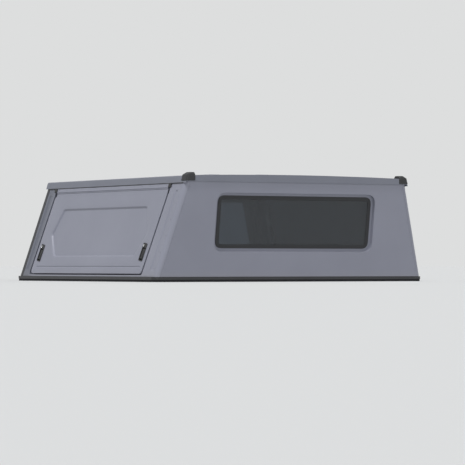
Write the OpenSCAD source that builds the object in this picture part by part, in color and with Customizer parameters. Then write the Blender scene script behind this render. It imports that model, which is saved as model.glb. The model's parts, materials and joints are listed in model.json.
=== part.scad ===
// Pickup truck canopy with pressed sheet sides, top-hinged side doors and a lifting rear door.
// +X is forward, +Y is to the left and +Z is up. The origin is the middle of the base at bed rail height.

/* [Body] */
// Width over the base rails
base_w = 1750; // [1600:10:1900]
// Length of each side along its bottom edge
base_len = 1624; // [1500:10:2300]
// Height of the roof edge above the bed rail
roof_edge_h = 575; // [540:5:700]
// Inward slope of the sides from upright, in degrees
side_tilt = 16; // [8:1:20]
// Forward lean of the front and rear ends, in degrees
edge_lean = 7.8; // [4:0.2:12]
// Thickness of the pressed sheet
sheet = 2; // [1.5:0.1:3]
// Rounding of the upright front corners
corner_r = 28; // [20:1:40]
// Width of the corner posts' flanges behind the sides
post_lap = 14; // [10:1:18]

/* [Roof] */
// Rise of the roof from its edges to its middle
roof_crown = 10; // [4:1:20]
// Depth of the roof's folded side skirt
skirt_depth = 38; // [30:1:45]
// Overhang of the roof behind the rear frame
roof_overhang = 20; // [12:1:40]
// Length of a roof corner cap along the side
cap_len = 58; // [40:1:80]
// Width of a roof corner cap across the front
cap_w = 46; // [34:1:70]
// Depth of a roof corner cap below the roof edge
cap_drop = 26; // [18:1:30]
// Wall of a roof corner cap
cap_wall = 3; // [2:0.5:4]
// Number of pressed ribs along the roof
rib_count = 4; // [2:1:6]
// Width of a roof rib
rib_w = 90; // [50:5:140]
// Height of a roof rib
rib_rise = 5; // [3:0.5:8]
// Number of hat-section bows under the roof
bow_count = 3; // [2:1:5]
// Height of a roof bow
bow_h = 22; // [15:1:30]
// Width of a roof bow
bow_w = 60; // [40:1:90]

/* [Base] */
// Thickness of the foam seal under the base
seal_h = 12; // [6:1:18]
// Height of the base rail above the seal
rail_h = 16; // [13:1:22]
// Width of the base rail's box section
rail_box_w = 28; // [22:1:30]
// Width of the base rail with its clamping flange
rail_w = 52; // [48:1:70]
// Wall of the base rail
rail_wall = 3; // [2:0.5:4]
// Radius of the clamp bolt holes
bolt_hole_r = 4.25; // [3:0.05:6]
// Distance from the ends of a side to its outer clamp bolts
bolt_end_gap = 212; // [120:1:300]
// Width of the foam seal strip
seal_strip_w = 24; // [18:1:26]
// Length of the front rail's returns along the sides
corner_return = 80; // [50:5:120]

/* [Side door] */
// Distance from the side's rear edge to the door's rear edge, along the base
door_rear = 120; // [100:1:200]
// Distance from the door's front edge to the side's front edge, along the base
door_front = 178; // [165:1:300]
// Height of the door's bottom edge
door_bottom_h = 45; // [42:1:80]
// Gap between the hinge line and the door's top edge
door_top_gap = 20; // [18:1:70]
// Lean of the door's ends, in degrees
door_lean = 9.5; // [4:0.5:12]
// Gap between the door's ends and the frame
door_end_gap = 15; // [8:1:20]
// Gap under the door
door_bottom_gap = 8; // [6:0.5:8]
// Depth of the door's folded edge
door_depth = 16; // [15:1:20]
// Thickness of the door's inner liner
liner_t = 1.5; // [1:0.1:2]
// Radius of the door's corners
door_corner_r = 24; // [12:1:40]

/* [Door pressing] */
// Distance from the door's top edge down to the pressing
press_top_margin = 30; // [25:1:60]
// Distance from the door's bottom edge up to the pressing
press_bottom_margin = 53; // [48:1:90]
// Drop from the pressing's top to its side points
press_mid_drop = 190; // [120:1:240]
// Distance from the door's ends to the pressing at its top
press_top_inset = 88; // [80:1:200]
// Distance from the door's ends to the pressing's side points
press_mid_inset = 63; // [58:1:160]
// Distance from the door's ends to the pressing at its bottom
press_bottom_inset = 195; // [185:1:300]
// Depth of the pressed panel
press_depth = 12; // [8:0.5:13]
// Depth at which the gentle slope of the pressing turns into its steep inner step
press_turn = 4; // [2:0.5:6]
// Width of the steep inner step
press_step_w = 8; // [5:1:14]
// Width of the slope along the top and bottom edges
press_slope = 51; // [30:1:70]
// Width of the slope at the side points
press_side_slope = 36; // [20:1:60]
// Corner radius of the pressing
press_r = 30; // [10:1:50]
// Distance from the middle of the door's length to the middle of the pressing, forward
press_shift = 8; // [-20:1:30]

/* [Hinge] */
// Distance from the roof edge down to the hinge line
hinge_drop = 65; // [61:1:67]
// Radius of the round bead on the door's hinge strip
bead_r = 5; // [4:0.5:6]
// Radial clearance of the bead in its socket
bead_gap = 0.06; // [0.03:0.01:0.1]
// Wall of the hinge rail's socket
socket_wall = 4; // [3:0.5:5]
// Thickness of the hinge strip's neck
neck_t = 3; // [2:0.5:4]

/* [Door frame] */
// Depth of the folded frame round the door opening
jamb_depth = 30; // [29:1:40]
// Overlap of the frame's inner flange behind the door
landing = 14; // [12:1:24]
// Width of the rubber door seal
seal_w = 11; // [8:1:12]

/* [Latch] */
// Width of the latch dish
latch_w = 44; // [42:1:46]
// Height of the latch dish
latch_h = 102; // [96:1:110]
// Depth of the latch dish behind the door's face
latch_depth = 14; // [12:1:14]
// Height of the latches' centres above the door's bottom edge
latch_up = 118; // [110:1:130]
// Distance from the door's end to the latch's centre line
latch_inset = 52; // [44:1:56]
// Length of the lever
lever_len = 54; // [45:1:56]
// Width of the lever
lever_w = 24; // [20:1:24]
// Radius of the lever's pin
lever_pin_r = 2.5; // [2:0.1:3]
// Radius of the lock cylinder
lock_r = 6; // [5:0.1:6.5]

/* [Gas struts] */
// Distance from the frame's lower edge up to the strut's stud
strut_frame_up = 42; // [36:1:60]
// Distance from the hinge down to the strut's stud on the door
strut_door_drop = 115; // [100:1:130]
// Depth of the frame stud behind the side's face
strut_frame_depth = 62; // [58:1:80]
// Depth of the door stud behind the side's face
strut_door_depth = 55.5; // [52:0.5:70]
// Distance from the door's rear end to the rear strut, at the door's stud
strut_rear_inset = 43; // [40:1:80]
// Distance from the door's front end back to the front strut, at the frame's stud
strut_front_inset = 21; // [19:1:50]
// Radius of the strut's cylinder
strut_r = 9; // [8:0.5:10]
// Radius of the strut's rod
rod_r = 4; // [3:0.5:5]
// Radius of the strut's end fittings
eye_r = 8; // [7:0.5:9]
// Radius of the ball studs
stud_r = 4; // [3:0.5:5]
// Radial clearance of the struts' studs, rods and lever pins
pin_gap = 0.06; // [0.03:0.01:0.1]

/* [Windows] */
// Width of the front window opening
front_window_w = 980; // [700:10:1100]
// Height of the front window's lower edge
front_window_sill = 190; // [150:5:230]
// Distance from the roof edge down to the front window
front_window_drop = 115; // [90:5:160]
// Thickness of the glass
glass_t = 4; // [3:0.5:5]
// Margin of the rear glass inside the rear door's edge
rear_window_margin = 95; // [80:5:150]
// Height of the rear window's lower edge
rear_window_sill = 140; // [110:5:250]
// Distance from the roof edge down to the rear window
rear_window_drop = 90; // [85:5:170]

/* [Rear] */
// Width of the rear frame's leg on each side
rear_leg_w = 36; // [30:1:45]
// Width of the rear frame's posts across the back
rear_post_w = 52; // [48:1:60]
// Wall of the rear frame
rear_wall = 3; // [2:0.5:4]
// Height of the rear frame's header
header_h = 46; // [40:1:60]
// Depth of the rear door
rear_door_depth = 14; // [12:1:20]
// Thickness of the rear door's seal
rear_seal_t = 4; // [3:0.5:6]
// Distance from the rear door's upper corners to its hinges
rear_hinge_inset = 326; // [200:1:450]
// Length of a rear door hinge
rear_hinge_len = 90; // [60:5:140]
// Length of a closed rear strut between its studs
rear_strut_len = 328; // [300:1:345]
// Length of the brake light
brake_light_w = 280; // [180:10:360]

/* [Hidden] */
$fn = 48;

// Colours
body_grey = "#8d8f9b";
trim_black = "#1f2024";
rubber_black = "#121315";
steel = "#b9bcc0";
tint = "#2a3036";
lens_red = "#8e1014";

// Small gap between pieces that seat on each other without touching
seat_gap = 0.3;
// Face contact allowance between tilted pieces
lap_gap = 0.1;
// Overrun of a cut past the face it leaves
over = 1;

// Height, half width and end positions at a given height
function lean_x(h) = h * tan(edge_lean);
function half_w(h) = base_w / 2 - h * tan(side_tilt);
function rise(h) = h / cos(side_tilt);
function front_rise(h) = h / cos(edge_lean);
wall_across = sheet / cos(side_tilt);

// Rear door and its handle, which reaches furthest back; the corner caps reach furthest forward
skirt_bottom_h = roof_edge_h - skirt_depth;
rear_face = rear_seal_t + rear_door_depth;
rear_door_low = seal_h;
rear_door_high = skirt_bottom_h + 6;
rear_door_inset = 13;
rear_window_top = roof_edge_h - rear_window_drop;
handle_y = front_rise((rear_door_low + rear_window_sill) / 2);
handle_out = 24;
handle_bar_h = 17;
rear_reach = (rear_face + handle_out) * cos(edge_lean) - (handle_y - handle_bar_h / 2) * sin(edge_lean);
roof_lip = sheet + 1;
cap_lip = 5;
front_reach = lean_x(roof_edge_h) + roof_lip + seat_gap + cap_lip;
rear_x0 = -(base_len + front_reach - rear_reach) / 2;
front_x0 = rear_x0 + base_len;
edge_k = tan(edge_lean) * cos(side_tilt);
door_k = tan(door_lean) * cos(side_tilt);
door_turn = atan(door_k);

// Roof and the height of its rounded side folds
roof_x0 = rear_x0 + lean_x(roof_edge_h) - roof_overhang;
roof_x1 = front_x0 + lean_x(roof_edge_h) + roof_lip;
fold_drop = 8;
front_skirt_h = skirt_bottom_h + 8;
rear_skirt_h = skirt_bottom_h + 20;

// Base levels, the clamp bolts' line in the rail's free flange, and the joints of the rails
rail_top = seal_h + rail_h;
side_bottom_h = rail_top + sheet * sin(side_tilt) + lap_gap;
side_top_h = roof_edge_h - fold_drop - 1;
rear_frame_top = side_top_h - 2;
bolt_line = base_w / 2 + 2 - (rail_box_w + 2 + rail_w) / 2;
bolt_spacing = base_len - 2 * bolt_end_gap;
corner_cut = front_x0 - corner_return;
seal_inset = 3;

// Door, its opening and its pressing
hinge_h = roof_edge_h - hinge_drop;
door_top_h = hinge_h - door_top_gap;
door_x0 = rear_x0 + door_rear;
door_x1 = front_x0 - door_front;
door_w = door_x1 - door_x0;
opening_top_h = hinge_h + (bead_r + socket_wall + 6);
opening_bottom_h = door_bottom_h - door_bottom_gap;
press_top_h = door_top_h - press_top_margin;
press_mid_h = press_top_h - press_mid_drop;
press_bottom_h = door_bottom_h + press_bottom_margin;
press_top_w = door_w - 2 * press_top_inset;
press_mid_w = door_w - 2 * press_mid_inset;
press_bottom_w = door_w - 2 * press_bottom_inset;
door_mid_x = (door_x0 + door_x1) / 2 + door_k * rise(press_mid_h);
liner_face = -door_depth - liner_t;

// Hinge line in the side's own plane: distance up the slope and depth behind the face
hinge_y = rise(hinge_h);
hinge_z = -sheet - neck_t / 2;
socket_r = bead_r + socket_wall;
hinge_x0 = door_x0 + door_k * hinge_y + 6;
hinge_x1 = door_x1 + door_k * hinge_y - 6;
strip_lap = 26;

// Latches: their places, the lever's pivot and the lock beside it
latch_z = door_bottom_h + latch_up;
latch_front_x = door_x1 + door_k * rise(latch_z) - latch_inset;
latch_rear_x = door_x0 + door_k * rise(latch_z) + latch_inset;
dish_flange = 2.5;
lever_pivot_y = 16;
lever_pivot_z = -5;
lever_barrel_r = 4.5;
lock_side = 9;
lock_y = 36;

// Strut studs in the side's own plane
frame_stud = [rise(opening_bottom_h) + strut_frame_up, -strut_frame_depth];
door_stud = [hinge_y - strut_door_drop, -strut_door_depth];
strut_len = norm(door_stud - frame_stud);
strut_angle = atan2(door_stud[1] - frame_stud[1], door_stud[0] - frame_stud[0]);
strut_rear_x = door_x0 + door_k * door_stud[0] + strut_rear_inset;
strut_front_x = door_x1 + door_k * frame_stud[0] - strut_front_inset;
eye_w = 10;
tab_t = 3;
tube_end = strut_len - 62;
gland = 14;
tube_wall = 1.5;
piston_z = 34;

// Corners rounded with a curve at each point of an outline
function rounded(pts, r, steps = 4) = [
    for (i = [0 : len(pts) - 1])
        let (c = pts[i], p = pts[(i + len(pts) - 1) % len(pts)], q = pts[(i + 1) % len(pts)],
             a = (p - c) / norm(p - c), b = (q - c) / norm(q - c), t = r / tan(acos(a * b) / 2))
        for (s = [0 : steps])
            let (f = s / steps) pow(1 - f, 2) * (c + a * t) + 2 * f * (1 - f) * c + f * f * (c + b * t)
];

// Four-sided outline in the side's plane, between two leaning ends and two heights
function slanted(x0, x1, h0, h1, k, grow = 0) =
    let (y0 = rise(h0) - grow, y1 = rise(h1) + grow, g = grow * sqrt(1 + k * k))
    [[x0 + k * y0 - g, y0], [x1 + k * y0 + g, y0], [x1 + k * y1 + g, y1], [x0 + k * y1 - g, y1]];

function door_line(grow = 0) =
    rounded(slanted(door_x0, door_x1, door_bottom_h, door_top_h, door_k, grow), max(door_corner_r + grow, 4));
function opening_line(grow = 0) =
    let (x0 = door_x0 - door_end_gap, x1 = door_x1 + door_end_gap)
    rounded(slanted(x0, x1, opening_bottom_h, opening_top_h, door_k, grow), max(door_corner_r - 6 + grow, 4));

// Six-sided outline of the door's pressing, as a low ring and a smaller deep ring
function hexagon(top_w, mid_w, bottom_w, top_h, mid_h, bottom_h, r) =
    let (cx = door_mid_x + press_shift)
    rounded([[cx - bottom_w / 2, rise(bottom_h)], [cx + bottom_w / 2, rise(bottom_h)],
             [cx + mid_w / 2, rise(mid_h)], [cx + top_w / 2, rise(top_h)],
             [cx - top_w / 2, rise(top_h)], [cx - mid_w / 2, rise(mid_h)]], r);
function press_outer() =
    hexagon(press_top_w, press_mid_w, press_bottom_w, press_top_h, press_mid_h, press_bottom_h, press_r);
function press_inner(grow = 0) =
    hexagon(press_top_w - 3.4 * press_slope + 2 * grow, press_mid_w - 2 * press_side_slope + 2 * grow,
            press_bottom_w + 4 + 2 * grow, press_top_h - press_slope + grow, press_mid_h,
            press_bottom_h + press_slope - grow, press_r);

// Outline across the rear or front end, between two heights, inside the sloping sides
function end_line(h0, h1, inset, r) =
    rounded([[-(half_w(h0) - inset), front_rise(h0)], [half_w(h0) - inset, front_rise(h0)],
             [half_w(h1) - inset, front_rise(h1)], [-(half_w(h1) - inset), front_rise(h1)]], r);
function front_window(grow = 0) =
    let (w = front_window_w / 2 + grow, y0 = front_rise(front_window_sill) - grow,
         y1 = front_rise(roof_edge_h - front_window_drop) + grow)
    rounded([[-w, y0], [w, y0], [w, y1], [-w, y1]], 30 + grow);
function rear_window(grow = 0) =
    end_line(rear_window_sill - grow, rear_window_top + grow, rear_window_margin - grow, 30 + grow);

// Solid between two outlines of as many points
module loft(low, high, z0, z1) {
    stack([low, high], [z0, z1]);
}

// Solid through several outlines of as many points, one at each height
module stack(lines, heights) {
    n = len(lines[0]);
    last = n * (len(lines) - 1);
    polyhedron(
        points = [for (k = [0 : len(lines) - 1]) for (p = lines[k]) [p[0], p[1], heights[k]]],
        faces = [
            [for (i = [0 : n - 1]) i],
            [for (i = [n - 1 : -1 : 0]) last + i],
            for (k = [0 : n : last - n]) for (i = [0 : n - 1])
                [k + i, k + n + i, k + n + (i + 1) % n, k + (i + 1) % n]
        ]
    );
}

module slab(z0, z1) {
    translate([0, 0, z0]) linear_extrude(z1 - z0) children();
}

module ring(outer, inner) {
    difference() {
        polygon(outer);
        polygon(inner);
    }
}

module cross_cylinder(r, w) {
    rotate([0, 90, 0]) translate([0, 0, -w / 2]) cylinder(r = r, h = w);
}

module rounded_box(w, h, r) {
    polygon(rounded([[-w / 2, -h / 2], [w / 2, -h / 2], [w / 2, h / 2], [-w / 2, h / 2]], r));
}

// Places a shape drawn in the right side's plane: x forward, y up the slope, z outward
module on_right() {
    translate([0, -base_w / 2, 0]) rotate([90 - side_tilt, 0, 0]) children();
}

module on_left() {
    mirror([0, 1, 0]) on_right() children();
}

// Left side by a half turn, for a shape that is the same both ways along X, which then points back
module turned_left() {
    rotate([0, 0, 180]) on_right() children();
}

// Places a shape drawn across the front: x to the left, y up the slope, z outward
module on_front() {
    translate([front_x0, 0, 0]) rotate([0, edge_lean, 0]) rotate([90, 0, 90]) children();
}

module on_rear() {
    translate([rear_x0, 0, 0]) rotate([0, edge_lean, 0]) rotate([90, 0, -90]) children();
}

// Extrudes along X a section drawn across the side: x up the slope and y outward
module along_side(x0, x1) {
    translate([x0, 0, 0]) rotate([90, 0, 90]) linear_extrude(x1 - x0) children();
}

// Dish pressed into a sheet whose outer face is at z = 0: the metal behind it, then the hollow
module pressing_back(outer, inner, depth) {
    translate([0, 0, -sheet]) loft(inner, outer, -depth, 0);
}

module pressing_hollow(outer, inner, depth) {
    loft(inner, outer, -depth, 0);
    slab(0, over) polygon(outer);
}

// Roof: a crowned sheet with folded skirts, drawn as a section across the canopy
function crown_h(y) = roof_edge_h + roof_crown * (1 - pow(y / half_w(roof_edge_h), 2));
function roof_line(out) =
    let (across = out / cos(side_tilt), edge = half_w(roof_edge_h) + across, shoulder = edge - 9,
         low = half_w(skirt_bottom_h) + across, fold = half_w(roof_edge_h - fold_drop) + across)
    concat([[-low, skirt_bottom_h], [-fold, roof_edge_h - fold_drop], [-edge + 2, roof_edge_h - 2 + out]],
           [for (i = [0 : 16]) let (y = -shoulder + shoulder * i / 8) [y, crown_h(y) + out]],
           [[edge - 2, roof_edge_h - 2 + out], [fold, roof_edge_h - fold_drop], [low, skirt_bottom_h]]);
function reversed(pts) = [for (i = [len(pts) - 1 : -1 : 0]) pts[i]];

module along_x(x0, x1) {
    translate([x0, 0, 0]) rotate([90, 0, 90]) linear_extrude(x1 - x0) children();
}

module roof_rib(y) {
    x0 = roof_x0 + 110;
    x1 = roof_x1 - 110;
    slope = 3 * rib_rise;
    low = [[x0, y - rib_w / 2], [x1, y - rib_w / 2], [x1, y + rib_w / 2], [x0, y + rib_w / 2]];
    high = [[x0 + slope, y - rib_w / 2 + slope], [x1 - slope, y - rib_w / 2 + slope],
            [x1 - slope, y + rib_w / 2 - slope], [x0 + slope, y + rib_w / 2 - slope]];
    loft(low, high, crown_h(abs(y) + rib_w / 2) + seat_gap, crown_h(y) + sheet + seat_gap + rib_rise);
}

// Front or rear skirt, folded down from the sheet between the side skirts
module end_skirt(x, h) {
    low = half_w(h) + seat_gap + 1;
    fold = half_w(roof_edge_h - fold_drop) + seat_gap + 1;
    top = half_w(roof_edge_h) - 4;
    along_x(x, x + sheet) polygon(concat(
        [[-fold, roof_edge_h - fold_drop], [-low, h], [low, h], [fold, roof_edge_h - fold_drop]],
        [for (i = [8 : -1 : 0]) let (y = top * (i / 4 - 1)) [y, crown_h(y) + seat_gap + 0.2]]));
}

module roof_panel() {
    color(body_grey) union() {
        along_x(roof_x0, roof_x1)
            polygon(concat(roof_line(sheet + seat_gap), reversed(roof_line(seat_gap))));
        end_skirt(roof_x1 - sheet, front_skirt_h);
        end_skirt(roof_x0, rear_skirt_h);
        // The ribs stop at the sheet's underside
        difference() {
            for (i = [0 : rib_count - 1])
                roof_rib((i - (rib_count - 1) / 2) * 2 * half_w(roof_edge_h) / (rib_count + 0.5));
            along_x(roof_x0, roof_x1) polygon(roof_line(seat_gap));
        }
    }
}

// Hat-section bows that follow the underside of the roof
module roof_bows() {
    function arch(drop, half) = [for (i = [0 : 12]) let (y = half * (i / 6 - 1)) [y, crown_h(y) - drop]];
    half = half_w(roof_edge_h) - 22;
    spacing = (roof_x1 - roof_x0) / (bow_count + 1);
    color(body_grey) for (i = [1 : bow_count]) let (x = roof_x0 + i * spacing) difference() {
        along_x(x - bow_w / 2, x + bow_w / 2)
            polygon(concat(arch(0, half), reversed(arch(bow_h, half))));
        along_x(x - bow_w / 2 + 8 + sheet, x + bow_w / 2 - 8 - sheet)
            polygon(concat(arch(-over, half + over), reversed(arch(bow_h - sheet, half + over))));
        for (side = [-1, 1])
            along_x(x + side * (bow_w / 2 - 4) - 4 - (side < 0 ? over : 0),
                    x + side * (bow_w / 2 - 4) + 4 + (side > 0 ? over : 0))
                polygon(concat(arch(sheet, half + over), reversed(arch(bow_h + over, half + over))));
    }
}

// Moulded caps over the roof's front corners, hollow where they fit over the folded sheet
module front_corner_caps() {
    x = roof_x1 + seat_gap;
    inside = half_w(roof_edge_h) - cap_w;
    bottom = roof_edge_h - cap_drop;
    top = roof_edge_h + 6;
    crest = 13;
    function outline(h, out, ahead, back, inner = 0) =
        let (y = half_w(h) + (sheet + 2 * seat_gap + out) / cos(side_tilt))
        [[x - back, -y], [x + ahead, -y], [x + ahead, inner - inside], [x - back, inner - inside]];
    high = outline(top + crest, cap_wall - crest, -4, cap_len - 12);
    color(trim_black) for (side = [0, 1]) mirror([0, side, 0]) difference() {
        union() {
            loft(rounded(outline(bottom, cap_wall, cap_lip, cap_len), 9),
                 rounded(outline(top, cap_wall, cap_lip, cap_len), 9), bottom, top);
            loft(rounded(outline(top, cap_wall, cap_lip, cap_len), 9), rounded(high, 12), top, top + crest);
        }
        loft(outline(bottom - over, 0, 0, cap_len + over, over), outline(top - 1, 0, 0, cap_len + over, over),
             bottom - over, top - 1);
    }
}

// Rounded front corner posts with flanges behind the side sheet and the front sheet
module front_corner_posts() {
    r = corner_r;
    t = wall_across;
    function arc(rad) = [for (i = [0 : 6]) [-r + rad * sin(15 * i), r - rad * cos(15 * i)]];
    inner = t + lap_gap;
    profile = concat(
        [[-r - post_lap, inner]], [[-r, inner]], arc(r),
        [[0, r + 0.5]], [[-inner, r + 0.5]], [[-inner, r + post_lap]],
        [[-inner - t, r + post_lap]], reversed([for (i = [0 : 6])
            [-r + (r - inner - t) * sin(15 * i), r - (r - inner - t) * cos(15 * i)]]),
        [[-r - post_lap, inner + t]]);
    color(body_grey) for (side = [0, 1]) mirror([0, side, 0])
        concave_post(profile, rail_top + lap_gap, side_top_h, front_x0);
}

// Leaning post whose section is not convex, so its ends are cut square from a longer shape
module concave_post(pts, h0, h1, x0) {
    multmatrix([[1, 0, tan(edge_lean), x0], [0, 1, tan(side_tilt), -base_w / 2], [0, 0, 1, 0], [0, 0, 0, 1]])
        translate([0, 0, h0]) linear_extrude(h1 - h0) polygon(pts);
}

// Side: one pressed sheet with folded door frame, pressed pillars and an inner flange
module side_sheet() {
    seam_x = front_x0 - corner_r;
    rear_seam = rear_x0 + rear_leg_w;
    low = opening_bottom_h + 25;
    high = opening_top_h - 25;
    clear = post_lap + 3;
    front_outer = rounded(slanted(seam_x - 62, seam_x - clear, low, high, edge_k), 12);
    front_inner = rounded(slanted(seam_x - 62, seam_x - clear, low, high, edge_k, -9), 8);
    rear_outer = rounded(slanted(rear_seam + clear, rear_seam + 46, low, high, edge_k), 12);
    rear_inner = rounded(slanted(rear_seam + clear, rear_seam + 46, low, high, edge_k, -9), 4);
    pillar_depth = 5;
    difference() {
        union() {
            slab(-sheet, 0)
                polygon(slanted(rear_seam + seat_gap, seam_x - 0.2, side_bottom_h, side_top_h, edge_k));
            slab(-jamb_depth, 0) ring(opening_line(sheet), opening_line());
            slab(-jamb_depth, -jamb_depth + sheet) ring(opening_line(sheet), door_line(-landing));
            pressing_back(front_outer, front_inner, pillar_depth);
            pressing_back(rear_outer, rear_inner, pillar_depth);
        }
        slab(-jamb_depth + sheet, over) polygon(opening_line());
        pressing_hollow(front_outer, front_inner, pillar_depth);
        pressing_hollow(rear_outer, rear_inner, pillar_depth);
    }
}

module side_panel_right() {
    color(body_grey) on_right() side_sheet();
}

module side_panel_left() {
    color(body_grey) on_left() side_sheet();
}

// Front wall: sheet with a window opening, a raised frame round it and folded edges
module front_panel() {
    h0 = rail_top + lap_gap;
    color(body_grey) on_front() difference() {
        union() {
            slab(-sheet, 0) polygon(end_line(h0, side_top_h, corner_r + 1, 2));
            slab(-22, 0) ring(front_window(26 + sheet), front_window(26));
            slab(-22, -22 + sheet) polygon(front_window(26 + sheet));
        }
        slab(-22 + sheet, over) polygon(front_window(26));
        slab(-22 - over, over) polygon(front_window());
    }
}

// Rubber profile that grips the sheet outside and the glass inside
module window_seal(outer, edge, glass, inner, face) {
    lip = 3;
    difference() {
        union() {
            slab(face, face + lip) polygon(outer);
            slab(face - sheet - 0.1, face + 0.1) polygon(edge);
            slab(face - sheet - lip, face - sheet) polygon(outer);
        }
        slab(face - sheet - lip - over, face + lip + over) polygon(inner);
        slab(face - sheet / 2 - glass_t / 2, face - sheet / 2 + glass_t / 2) polygon(glass);
    }
}

module front_window_seal() {
    color(rubber_black) on_front()
        window_seal(front_window(9), front_window(), front_window(-7), front_window(-13), -22 + sheet);
}

module front_window_glass() {
    mid = -22 + sheet / 2;
    color(tint) on_front() slab(mid - glass_t / 2, mid + glass_t / 2) polygon(front_window(-7 - seat_gap));
}

// Rear frame: two hollow corner posts and a header between them, open at the bottom for the tailgate
module rear_corner_posts() {
    w = rear_post_w;
    t = rear_wall;
    inner = wall_across + lap_gap;
    profile = [[0, w], [0, 6], [1.8, 1.8], [6, 0], [rear_leg_w, 0], [rear_leg_w, inner],
               [rear_leg_w + post_lap, inner], [rear_leg_w + post_lap, inner + t], [t, inner + t],
               [t, w - t], [jamb_depth, w - t], [jamb_depth, w]];
    color(trim_black) for (side = [0, 1]) mirror([0, side, 0])
        concave_post(profile, rail_top + lap_gap, rear_frame_top, rear_x0);
}

module rear_header() {
    inset = rear_post_w + lap_gap;
    low = rear_frame_top - header_h;
    color(trim_black) on_rear() difference() {
        slab(-jamb_depth, 0) polygon(end_line(low, rear_frame_top, inset, 0.5));
        slab(-jamb_depth - over, -rear_wall)
            polygon(end_line(low + rear_wall, rear_frame_top - rear_wall, inset + rear_wall, 0.5));
    }
}

// Rear door: a pressed pan round the glass, closing over the rear frame
function rear_door_line(grow) =
    end_line(rear_door_low - grow, rear_door_high + grow, rear_door_inset - grow, 18);

module rear_door_frame() {
    color(trim_black) on_rear() difference() {
        union() {
            slab(rear_face - sheet, rear_face) polygon(rear_door_line(0));
            slab(rear_seal_t, rear_face) ring(rear_door_line(0), rear_door_line(-sheet));
            slab(rear_seal_t, rear_seal_t + sheet) ring(rear_door_line(0), rear_door_line(-30));
        }
        slab(rear_face - sheet - over, rear_face + over) polygon(rear_window());
    }
}

module rear_door_seal() {
    color(rubber_black) on_rear() slab(0, rear_seal_t)
        ring(rear_door_line(-10), rear_door_line(-22));
}

module rear_window_seal() {
    color(rubber_black) on_rear()
        window_seal(rear_window(9), rear_window(), rear_window(-7), rear_window(-13), rear_face);
}

module rear_window_glass() {
    mid = rear_face - sheet / 2;
    color(tint) on_rear() slab(mid - glass_t / 2, mid + glass_t / 2) polygon(rear_window(-7 - seat_gap));
}

module rear_door_hinges() {
    y = front_rise(rear_door_high) + 7;
    pin_z = 12;
    leaf_t = 2.5;
    len = rear_hinge_len;
    color(steel) on_rear() for (side = [-1, 1])
        translate([side * (half_w(rear_door_high) - rear_door_inset - rear_hinge_inset) - len / 2, 0, 0]) {
            translate([0, y - 1.5, 0]) cube([len, 3, pin_z]);
            translate([0, y, pin_z]) rotate([0, 90, 0]) cylinder(r = 5, h = len);
            translate([0, y - 32, rear_face]) cube([len, 30, leaf_t]);
            translate([0, y - 5, pin_z]) cube([len, 3, rear_face - pin_z + leaf_t]);
        }
}

// Turning handle in the middle of the rear door's lower rail
module rear_door_handle() {
    color(trim_black) on_rear() translate([0, handle_y, rear_face]) {
        slab(0, 4) rounded_box(84, 52, 10);
        cylinder(r = 9, h = handle_out - 8);
        slab(handle_out - 10, handle_out) rounded_box(116, handle_bar_h, 7);
    }
}

// Closed gas struts inside the rear door, each on a stud on the post and a stud on the door
module rear_struts() {
    stand = 22;
    tube_len = 210;
    color(trim_black) on_rear() for (side = [0, 1]) mirror([side, 0, 0])
        translate([half_w(0) - rear_post_w - stand, 0, -jamb_depth / 2])
            rotate([0, 0, atan(tan(side_tilt) * cos(edge_lean))])
                translate([0, front_rise(rear_door_high) - 78 - rear_strut_len, 0]) {
                    translate([0, eye_r, 0]) rotate([-90, 0, 0]) cylinder(r = strut_r, h = tube_len);
                    translate([0, tube_len, 0]) rotate([-90, 0, 0])
                        cylinder(r = rod_r, h = rear_strut_len - tube_len - 4);
                    for (y = [0, rear_strut_len]) translate([0, y, 0]) cross_cylinder(eye_r, eye_w);
                    translate([-eye_w / 2, 0, 0]) rotate([0, 90, 0])
                        cylinder(r = stud_r, h = stand + eye_w / 2 - 0.7);
                    translate([0, rear_strut_len, 0]) cylinder(r = stud_r, h = rear_seal_t + jamb_depth / 2);
                }
}

module brake_light() {
    depth = 12;
    color(lens_red) translate([roof_x0 - depth - seat_gap, -brake_light_w / 2, rear_skirt_h + 0.5])
        cube([depth, brake_light_w, 15]);
}

// Base: box rails with an inner clamping flange, in three pieces
function plan_line(inset) =
    let (w = base_w / 2 + 2 - inset, x1 = front_x0 + 2 - inset, r = max(corner_r - inset, 2))
    concat([[rear_x0 + 4, w], [rear_x0 + 4, -w]],
           [for (i = [0 : 6]) [x1 - r + r * sin(15 * i), -w + r - r * cos(15 * i)]],
           [for (i = [0 : 6]) [x1 - r + r * cos(15 * i), w - r + r * sin(15 * i)]]);

module base_rails() {
    top = rail_top;
    difference() {
        union() {
            slab(seal_h, top) plan_rim(0, rail_box_w + 2);
            slab(seal_h, seal_h + rail_wall) plan_rim(0, rail_w);
        }
        slab(seal_h + rail_wall, top - rail_wall) plan_rim(rail_wall, rail_box_w + 2 - rail_wall);
        for (x = [-1, 0, 1], y = [-1, 1])
            translate([x * bolt_spacing / 2, y * bolt_line, seal_h - over])
                cylinder(r = bolt_hole_r, h = rail_wall + 2 * over);
    }
}

// Three-sided band that follows the plan, open at the rear
module plan_rim(inset0, inset1) {
    difference() {
        polygon(plan_line(inset0));
        polygon(concat([[rear_x0, base_w / 2 + 2 - inset1], [rear_x0, -base_w / 2 - 2 + inset1]],
                       [for (p = plan_line(inset1)) if (p[0] > 0) p]));
    }
}

module right_part() {
    intersection() {
        children();
        translate([rear_x0 - over, -base_w, -over]) cube([corner_cut - rear_x0 + over, base_w - 200, 200]);
    }
}

module front_part() {
    intersection() {
        children();
        translate([corner_cut, -base_w, -over]) cube([2 * corner_return, 2 * base_w, 200]);
    }
}

module base_rail_right() {
    color(trim_black) right_part() base_rails();
}

module base_rail_left() {
    color(trim_black) mirror([0, 1, 0]) right_part() base_rails();
}

module base_rail_front() {
    color(trim_black) front_part() base_rails();
}

module base_seals() {
    slab(0, seal_h) plan_rim(seal_inset, seal_inset + seal_strip_w);
}

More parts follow.
